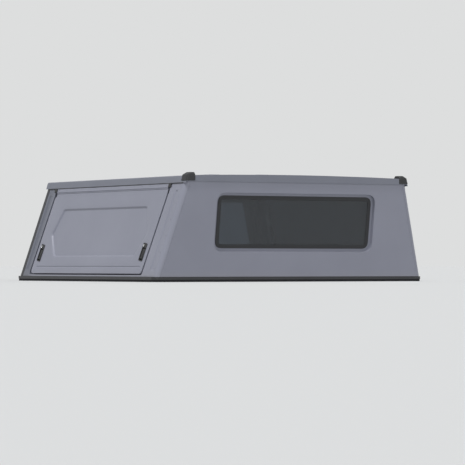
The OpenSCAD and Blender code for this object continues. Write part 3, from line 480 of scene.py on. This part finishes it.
softEdges = {
    "side_panel_right": 1.0 * mm, "side_panel_left": 1.0 * mm,
    "side_door_right": 1.0 * mm, "side_door_left": 1.0 * mm,
    "roof_panel": 1.2 * mm, "front_panel": 1.0 * mm, "front_corner_posts": 0.8 * mm,
    "rear_corner_posts": 1.2 * mm, "rear_header": 1.2 * mm, "rear_door_frame": 1.2 * mm,
    "door_seal_right": 3.0 * mm, "door_seal_left": 3.0 * mm, "rear_door_seal": 2.5 * mm,
    "base_rail_right": 1.5 * mm, "base_rail_left": 1.5 * mm, "base_rail_front": 1.5 * mm,
    "hinge_rail_right": 0.8 * mm, "hinge_rail_left": 0.8 * mm,
    "front_corner_caps": 2.5 * mm, "hinge_end_caps": 1.8 * mm,
    "latch_dishes_right": 0.9 * mm, "latch_dishes_left": 0.9 * mm,
    "latch_lever_front_right": 1.2 * mm, "latch_lever_rear_right": 1.2 * mm,
    "latch_levers_left": 1.2 * mm,
    "rear_door_handle": 2.5 * mm, "rear_door_hinges": 0.8 * mm,
    "front_window_seal": 1.4 * mm, "rear_window_seal": 1.4 * mm, "brake_light": 2.0 * mm,
    "frame_strut_brackets_right": 0.5 * mm, "frame_strut_brackets_left": 0.5 * mm,
    "door_strut_brackets_right": 0.5 * mm, "door_strut_brackets_left": 0.5 * mm,
}
softening = {
    "merge": 0.002 * mm,  # points closer than this become one
    "flat": 0.6,  # faces that meet at less than this become one, in degrees
    "crease": 28,  # edges sharper than this are rounded
    "smooth": 32,  # and edges gentler than this are shaded smooth
}


def softCopy(nodeName, radius):
    source = nodes[nodeName]
    piece = bpy.data.objects.new(nodeName + "_soft", source.data.copy())
    bpy.context.scene.collection.objects.link(piece)
    activate(piece)
    bpy.ops.object.mode_set(mode="EDIT")
    bpy.ops.mesh.select_all(action="SELECT")
    bpy.ops.mesh.remove_doubles(threshold=softening["merge"])
    bpy.ops.mesh.dissolve_limited(angle_limit=math.radians(softening["flat"]))
    bpy.ops.object.mode_set(mode="OBJECT")
    edge = piece.modifiers.new("edge", "BEVEL")
    edge.width = radius
    edge.segments = 2
    edge.limit_method = "ANGLE"
    edge.angle_limit = math.radians(softening["crease"])
    applyModifiers(piece)
    finishPiece(piece, nodeName + "_soft", bodyOf[nodeName], source.data.materials[0],
                softening["smooth"])
    flats = piece.modifiers.new("flats", "WEIGHTED_NORMAL")  # flat sheet stays flat up to a crease
    flats.mode = "FACE_AREA"
    flats.weight = 100
    flats.keep_sharp = True
    applyModifiers(piece)
    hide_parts(nodeName)


for nodeName, radius in softEdges.items():
    softCopy(nodeName, radius)
print("edges rounded")


# Fasteners: each modelled once at the origin, its seat on z = 0 and its head up

def domedRivet(headRadius, headHeight):
    clearSelection()
    bpy.ops.mesh.primitive_cylinder_add(vertices=14, radius=headRadius, depth=headHeight * 0.5,
                                        location=(0, 0, headHeight * 0.25))
    piece = bpy.context.object
    bpy.ops.object.transform_apply(location=True)
    pickTop(piece)
    bpy.ops.mesh.inset(thickness=headRadius * 0.22, depth=headHeight * 0.28)
    bpy.ops.mesh.inset(thickness=headRadius * 0.3, depth=headHeight * 0.18)
    bpy.ops.mesh.inset(thickness=headRadius * 0.14, depth=-headHeight * 0.3)  # the mandrel's hole
    bpy.ops.object.mode_set(mode="OBJECT")
    return piece


def buttonScrew(headRadius, headHeight):
    clearSelection()
    bpy.ops.mesh.primitive_cylinder_add(vertices=18, radius=headRadius, depth=headHeight * 0.4,
                                        location=(0, 0, headHeight * 0.2))
    piece = bpy.context.object
    bpy.ops.object.transform_apply(location=True)
    pickTop(piece)
    bpy.ops.mesh.inset(thickness=headRadius * 0.2, depth=headHeight * 0.4)
    bpy.ops.mesh.inset(thickness=headRadius * 0.25, depth=headHeight * 0.2)
    bpy.ops.mesh.inset(thickness=headRadius * 0.12, depth=-headHeight * 0.55)  # the socket
    bpy.ops.object.mode_set(mode="OBJECT")
    return piece


def flangeBolt(acrossFlats, headHeight, flange, flangeCrown):
    clearSelection()
    bpy.ops.mesh.primitive_cylinder_add(vertices=6, radius=acrossFlats / math.sqrt(3),
                                        depth=headHeight,
                                        location=(0, 0, headHeight / 2 + flange))
    head = bpy.context.object
    bpy.ops.object.transform_apply(location=True)
    pickTop(head)
    bpy.ops.mesh.inset(thickness=acrossFlats * 0.06, depth=acrossFlats * 0.04)
    bpy.ops.mesh.inset(thickness=acrossFlats * 0.2, depth=-acrossFlats * 0.05)
    bpy.ops.object.mode_set(mode="OBJECT")
    clearSelection()
    bpy.ops.mesh.primitive_cylinder_add(vertices=20, radius=acrossFlats * 0.82, depth=flange,
                                        location=(0, 0, flange / 2))
    washer = bpy.context.object
    bpy.ops.object.transform_apply(location=True)
    pickTop(washer)
    bpy.ops.mesh.inset(thickness=acrossFlats * 0.12, depth=flangeCrown)
    bpy.ops.object.mode_set(mode="OBJECT")
    head.select_set(True)
    bpy.context.view_layer.objects.active = head
    bpy.ops.object.join()
    return head


def even(count, low, high):
    return [low + (high - low) * i / (count - 1) for i in range(count)]


rivets = {
    "head": 4.0 * mm, "height": 1.6 * mm,
    "hingeCount": 15, "hingeHeight": 529 * mm, "hingeEnds": 24 * mm, "hingeSeat": 2.5 * mm,
    "postCount": 6, "postLow": 75 * mm, "postHigh": 515 * mm,
    "frontSeam": 28 * mm, "rearSeam": 36 * mm,  # from each end to the post's seam
    "flangeMiddle": 7 * mm, "wallFlange": 9 * mm,  # from the seam to the row
}
rivet = domedRivet(rivets["head"], rivets["height"])
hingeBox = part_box("hinge_rail_right")
for side, label in ((-1, "right"), (1, "left")):
    hingeRow = [onSide(side, x, rivets["hingeHeight"] * sideRise, rivets["hingeSeat"])
                for x in even(rivets["hingeCount"], hingeBox[0].x + rivets["hingeEnds"],
                              hingeBox[1].x - rivets["hingeEnds"])]
    scatter(rivet, hingeRow, "hinge_rivets_" + label, "canopy", paintedReflectionBodyCoat)
    postRows = []
    for height in even(rivets["postCount"], rivets["postLow"], rivets["postHigh"]):
        rise = height * sideRise
        postRows.append(onSide(side, canopy["frontX"] - rivets["frontSeam"]
                               - rivets["flangeMiddle"] + edgeSlope * rise, rise))
        postRows.append(onSide(side, canopy["rearX"] + rivets["rearSeam"]
                               + rivets["flangeMiddle"] + edgeSlope * rise, rise))
        across = side * (halfWidth(height) - rivets["frontSeam"] - rivets["wallFlange"])
        postRows.append(onEnd(True, across, height * endRise))
    scatter(rivet, postRows, "post_rivets_" + label, "canopy", paintedShadeSideCoat)
bpy.data.objects.remove(rivet)

railBolts = {
    "across": 13 * mm, "height": 5.5 * mm, "flange": 1.5 * mm, "flangeCrown": 0.4 * mm,
    "spacing": 600 * mm, "line": 836 * mm, "seat": 15 * mm,
}
bolt = flangeBolt(railBolts["across"], railBolts["height"], railBolts["flange"],
                  railBolts["flangeCrown"])
upright = (Vector((1, 0, 0)), Vector((0, 1, 0)), Vector((0, 0, 1)))
boltPlaces = [placed(Vector((i * railBolts["spacing"], side * railBolts["line"],
                             railBolts["seat"])), *upright)
              for i in (-1, 0, 1) for side in (-1, 1)]
scatter(bolt, boltPlaces, "rail_bolts", "canopy", stainless)
bpy.data.objects.remove(bolt)

rearScrews = {
    "head": 3.6 * mm, "height": 1.8 * mm,
    "leafMiddle": 45 * mm,  # from the leaf's outer end
    "pinDrop": 5 * mm,  # from the leaf's top
    "leafX": 32 * mm, "leafDrops": (10 * mm, 23 * mm),  # from the leaf's middle and the pin line
    "leafSeat": 20.5 * mm,
}
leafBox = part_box("rear_door_hinges")
hingeCentre = leafBox[1].y - rearScrews["leafMiddle"]
pinRise = leafBox[1].z * endRise - rearScrews["pinDrop"]
screw = buttonScrew(rearScrews["head"], rearScrews["height"])
screwPlaces = [onEnd(False, side * hingeCentre + step * rearScrews["leafX"], pinRise - drop,
                     rearScrews["leafSeat"])
               for side in (-1, 1) for step in (-1, 0, 1) for drop in rearScrews["leafDrops"]]
scatter(screw, screwPlaces, "rear_hinge_screws", "canopy", stainless)
bpy.data.objects.remove(screw)
print("fasteners set")


# Gas struts: a moulded wiper round each rod at the tube's end, a spring ring round its socket

struts = {
    "foot": (-793.215 * mm, 60.283 * mm),  # the frame stud on the right side, across and up
    "axis": Vector((0, 0.256941, 0.966427)),
    "front": 598.59 * mm, "rear": -609.51 * mm,
    "tubeEnd": 275.125 * mm, "length": 335.12 * mm,
    "wiper": (9.8 * mm, 8 * mm), "bore": 4.3 * mm,
    "ring": (8.6 * mm, 1.1 * mm),
}


def strutPlace(x, along, side=-1):
    axis = Vector((0, -side * struts["axis"].y, struts["axis"].z))
    ahead = Vector((1, 0, 0))
    foot = Vector((x, -side * struts["foot"][0], struts["foot"][1]))
    return placed(foot + axis * along, ahead, axis.cross(ahead), axis)


def wiperCollar(radius, bore, depth):
    clearSelection()
    bpy.ops.mesh.primitive_cylinder_add(vertices=28, radius=radius, depth=depth,
                                        location=(0, 0, 0))
    piece = bpy.context.object
    pickFaces(piece, lambda face: abs(face.normal.z) > 0.9)
    bpy.ops.mesh.inset(thickness=radius * 0.14, depth=depth * 0.1, use_individual=True)
    bpy.ops.mesh.inset(thickness=radius * 0.84 - bore, use_individual=True)
    bpy.ops.mesh.bridge_edge_loops()
    bpy.ops.object.mode_set(mode="OBJECT")
    return piece


def springRing(radius, wire):
    clearSelection()
    bpy.ops.mesh.primitive_torus_add(major_radius=radius, minor_radius=wire, major_segments=28,
                                     minor_segments=8, rotation=(0, math.radians(90), 0))
    piece = bpy.context.object
    bpy.ops.object.transform_apply(rotation=True)
    return piece


wiper = wiperCollar(struts["wiper"][0], struts["bore"], struts["wiper"][1])
ring = springRing(*struts["ring"])
for end in ("front", "rear"):
    scatter(wiper, [strutPlace(struts[end], struts["tubeEnd"])],
            "strut_wiper_" + end + "_right", end + "_strut_tube", blackMoulding)
    scatter(ring, [strutPlace(struts[end], struts["length"])],
            "socket_ring_" + end + "_right", end + "_strut_rod", stainless)
bothEnds = (struts["front"], struts["rear"])
scatter(wiper, [strutPlace(x, struts["tubeEnd"], 1) for x in bothEnds],
        "strut_wipers_left", "canopy", blackMoulding)
scatter(ring, [strutPlace(x, struts["length"], 1) for x in bothEnds],
        "socket_rings_left", "canopy", stainless)
bpy.data.objects.remove(wiper)
bpy.data.objects.remove(ring)
print("struts dressed")


# Latches: grip ribs on the levers, a rim and a key slot on each lock

latches = {
    "front": 581.92 * mm, "rear": -640.08 * mm, "height": 163 * mm, "turn": math.radians(-9.14),
    "ribs": 5, "ribLow": -29 * mm, "ribHigh": -3 * mm, "ribSeat": 0.4 * mm,
    "rib": (19 * mm, 2.2 * mm, 1.5 * mm),
    "lock": (-9 * mm, 36 * mm, 4.4 * mm),  # across, along and out from the latch
    "handleLock": (0, 76.7097 * mm, 42.2 * mm),  # across, up and out at the rear end
    "rimRadius": 6.6 * mm, "rimHeight": 1.2 * mm,
    "slot": (1.5 * mm, 6.4 * mm, 0.5 * mm), "slotLift": 0.35 * mm,
}


def onLatch(side, x, across, along, out):
    seat = onSide(side, x, latches["height"] * sideRise, 0, latches["turn"])
    return seat @ Matrix.Translation((-side * across, along, out))


def gripRib(size):
    clearSelection()
    bpy.ops.mesh.primitive_cube_add(size=1, location=(0, 0, size[2] / 2), scale=size)
    piece = bpy.context.object
    bpy.ops.object.transform_apply(location=True, scale=True)
    pickTop(piece)
    bpy.ops.mesh.bevel(offset=size[1] * 0.32, segments=2, affect="EDGES")
    bpy.ops.object.mode_set(mode="OBJECT")
    return piece


def lockRim(radius, height):
    clearSelection()
    bpy.ops.mesh.primitive_cylinder_add(vertices=28, radius=radius, depth=height,
                                        location=(0, 0, 0))
    piece = bpy.context.object
    pickTop(piece)
    bpy.ops.mesh.inset(thickness=0.7 * mm, depth=0.5 * mm)
    bpy.ops.mesh.inset(thickness=0.9 * mm)
    bpy.ops.mesh.inset(thickness=0.5 * mm, depth=-0.7 * mm)
    bpy.ops.object.mode_set(mode="OBJECT")
    return piece


def keySlot(size):
    clearSelection()
    bpy.ops.mesh.primitive_cube_add(size=1, location=(0, 0, 0), scale=size)
    piece = bpy.context.object
    bpy.ops.object.transform_apply(scale=True)
    pickTop(piece)
    bpy.ops.mesh.inset(thickness=0.25 * mm, depth=-0.3 * mm)
    bpy.ops.object.mode_set(mode="OBJECT")
    return piece


def fitLocks(seats, rimName, slotName, body):
    scatter(rim, seats, rimName, body, lockChrome)
    lifted = [seat @ Matrix.Translation((0, 0, latches["slotLift"])) for seat in seats]
    scatter(slot, lifted, slotName, body, blackMoulding)


rib = gripRib(latches["rib"])
rim = lockRim(latches["rimRadius"], latches["rimHeight"])
slot = keySlot(latches["slot"])
ribLines = even(latches["ribs"], latches["ribLow"], latches["ribHigh"])
for side, label, owners in ((-1, "right", ("front_lever", "rear_lever", "side_door")),
                            (1, "left", ("canopy", "canopy", "canopy"))):
    for end, owner in zip(("front", "rear"), owners):
        scatter(rib, [onLatch(side, latches[end], 0, along, latches["ribSeat"])
                      for along in ribLines],
                "lever_ribs_" + end + "_" + label, owner, blackMoulding)
    fitLocks([onLatch(side, latches[end], *latches["lock"]) for end in ("front", "rear")],
             "lock_rims_" + label, "key_slots_" + label, owners[2])
fitLocks([onEnd(False, *latches["handleLock"])], "handle_lock_rim", "handle_key_slot", "canopy")
for spare in (rib, rim, slot):
    bpy.data.objects.remove(spare)
print("latches dressed")


# Sealant along the roof skirt, laid by hand and smoothed, and plugs in the door liners

sealant = {
    "height": 535.6 * mm, "out": 2.4 * mm, "radius": 2.4 * mm, "ends": 30 * mm, "steps": 60,
    "swell": 0.16, "swellTurns": (37, 11),  # the hand's small swells, in radians to the metre
}


def sealantBead(side, name):
    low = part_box("roof_panel")[0].x + sealant["ends"]
    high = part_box("roof_panel")[1].x - sealant["ends"]
    length = high - low
    clearSelection()
    bpy.ops.mesh.primitive_cylinder_add(vertices=10, radius=sealant["radius"], depth=length,
                                        location=(0, 0, 0), rotation=(0, math.radians(90), 0))
    piece = bpy.context.object
    bpy.ops.object.transform_apply(rotation=True)
    activate(piece)
    bpy.ops.object.mode_set(mode="EDIT")
    for step in range(1, sealant["steps"]):
        cut = -length / 2 + length * step / sealant["steps"]
        bpy.ops.mesh.select_all(action="SELECT")
        bpy.ops.mesh.bisect(plane_co=(cut, 0, 0), plane_no=(1, 0, 0))
    bpy.ops.object.mode_set(mode="OBJECT")
    quick, slow = sealant["swellTurns"]
    for vertex in piece.data.vertices:
        along = vertex.co.x
        swell = 1 + sealant["swell"] * math.sin(along * quick) * math.sin(along * slow + 1)
        vertex.co.y *= swell
        vertex.co.z *= swell
    piece.matrix_world = onSide(side, (low + high) / 2, sealant["height"] * sideRise,
                                sealant["out"])
    finishPiece(piece, name, "canopy", sealRubber, 60)


sealantBead(-1, "roof_sealant_right")
sealantBead(1, "roof_sealant_left")

liner = {
    "plug": 7 * mm, "plugRise": 2.2 * mm, "face": 17.5 * mm,  # from the door's skin
    "low": 68 * mm, "high": 466 * mm, "ends": (-694 * mm, 580 * mm), "across": 6,
}


def linerPlug(radius, height):
    clearSelection()
    bpy.ops.mesh.primitive_cylinder_add(vertices=20, radius=radius, depth=height * 0.4,
                                        location=(0, 0, height * 0.2))
    piece = bpy.context.object
    bpy.ops.object.transform_apply(location=True)
    pickTop(piece)
    bpy.ops.mesh.inset(thickness=radius * 0.2, depth=height * 0.35)
    bpy.ops.mesh.inset(thickness=radius * 0.45, depth=height * 0.1)
    bpy.ops.object.mode_set(mode="OBJECT")
    return piece


plug = linerPlug(liner["plug"], liner["plugRise"])
inward = Matrix.Rotation(math.pi, 4, "X")
for side, label, owner in ((-1, "right", "side_door"), (1, "left", "canopy")):
    seats = []
    for height in (liner["low"], liner["high"]):
        rise = height * sideRise
        for x in even(liner["across"], *liner["ends"]):
            seats.append(onSide(side, x + doorSlope * rise, rise, -liner["face"]) @ inward)
    scatter(plug, seats, "liner_plugs_" + label, owner, blackMoulding)
bpy.data.objects.remove(plug)
print("sealant and plugs set")


# Stage, light and camera

studio = {
    "floor": "#d0d1d1", "floorSize": 160, "speckle": 30, "matt": (0.8, 0.95),
    "backdrop": "#dddede", "sky": "#f3f5f8", "skyStrength": 0.37,
}
lamps = {
    "keyLight": {"towards": (0.22, -0.4, 0.89), "strength": 2.35, "spread": 16},
    "frontLight": {"towards": (0.95, 0.1, 0.35), "strength": 0.6, "spread": 50},
    "backLight": {"towards": (-0.6, 0.7, 0.45), "strength": 0.55, "spread": 50},
}
photoView = {
    "azimuth": 59.1, "elevation": -0.65, "distance": 16.2, "target": (0.03, 0.07, 0.28),
    "focal": 2800, "frameWidth": 465,  # both in the picture's own pixels
    "sensor": 36, "farClip": 300,
}


def studioFloor():
    clearSelection()
    bpy.ops.mesh.primitive_plane_add(size=studio["floorSize"], location=(0, 0, 0))
    floor = bpy.context.object
    material, tree, output, place = newMaterial("studioFloor")
    speckle = addNode(tree, "ShaderNodeTexNoise",
                      inputs={"Scale": studio["speckle"], "Detail": 2}, links={"Vector": place})
    matt = addNode(tree, "ShaderNodeMapRange",
                   inputs={"To Min": studio["matt"][0], "To Max": studio["matt"][1]},
                   links={"Value": speckle.outputs["Fac"]})
    shader = addNode(tree, "ShaderNodeBsdfPrincipled",
                     inputs={"Base Color": linear(studio["floor"]), "Specular IOR Level": 0.0},
                     links={"Roughness": matt.outputs["Result"]})
    tree.links.new(shader.outputs["BSDF"], output.inputs["Surface"])
    floor.data.materials.append(material)
    floor.name = "studio_floor"


def studioSky():
    # the backdrop's own colour for what is seen, reflected or seen through glass
    world = bpy.data.worlds.new("studioSky")
    bpy.context.scene.world = world
    world.use_nodes = True
    tree = world.node_tree
    tree.nodes.clear()
    path = addNode(tree, "ShaderNodeLightPath")
    seen = addNode(tree, "ShaderNodeMath", settings={"operation": "MAXIMUM"},
                   links={0: path.outputs["Is Camera Ray"],
                          1: path.outputs["Is Transmission Ray"]})
    seen = addNode(tree, "ShaderNodeMath", settings={"operation": "MAXIMUM"},
                   links={0: seen.outputs["Value"], 1: path.outputs["Is Glossy Ray"]})
    light = addNode(tree, "ShaderNodeBackground",
                    inputs={"Color": linear(studio["sky"]), "Strength": studio["skyStrength"]})
    backdrop = addNode(tree, "ShaderNodeBackground",
                       inputs={"Color": linear(studio["backdrop"]), "Strength": 1.0})
    mix = addNode(tree, "ShaderNodeMixShader",
                  links={0: seen.outputs["Value"], 1: light.outputs[0], 2: backdrop.outputs[0]})
    output = addNode(tree, "ShaderNodeOutputWorld")
    tree.links.new(mix.outputs[0], output.inputs["Surface"])


def softSun(name, towards, strength, spread):
    lamp = bpy.data.lights.new(name, "SUN")
    lamp.energy = strength
    lamp.angle = math.radians(spread)
    holder = bpy.data.objects.new(name, lamp)
    bpy.context.scene.collection.objects.link(holder)
    holder.rotation_euler = Vector(towards).to_track_quat("Z", "Y").to_euler()


def photoCamera():
    azimuth = math.radians(photoView["azimuth"])
    elevation = math.radians(photoView["elevation"])
    back = Vector((math.sin(azimuth) * math.cos(elevation),
                   -math.cos(azimuth) * math.cos(elevation),
                   math.sin(elevation)))
    optics = bpy.data.cameras.new("photoCamera")
    optics.sensor_fit = "HORIZONTAL"
    optics.sensor_width = photoView["sensor"]
    optics.lens = photoView["sensor"] * photoView["focal"] / photoView["frameWidth"]
    optics.clip_end = photoView["farClip"]
    camera = bpy.data.objects.new("photoCamera", optics)
    bpy.context.scene.collection.objects.link(camera)
    camera.location = Vector(photoView["target"]) + back * photoView["distance"]
    camera.rotation_euler = back.to_track_quat("Z", "Y").to_euler()
    bpy.context.scene.camera = camera


studioFloor()
studioSky()
for name, lamp in lamps.items():
    softSun(name, lamp["towards"], lamp["strength"], lamp["spread"])
photoCamera()
bpy.context.scene.view_settings.view_transform = "Standard"
print("scene ready")
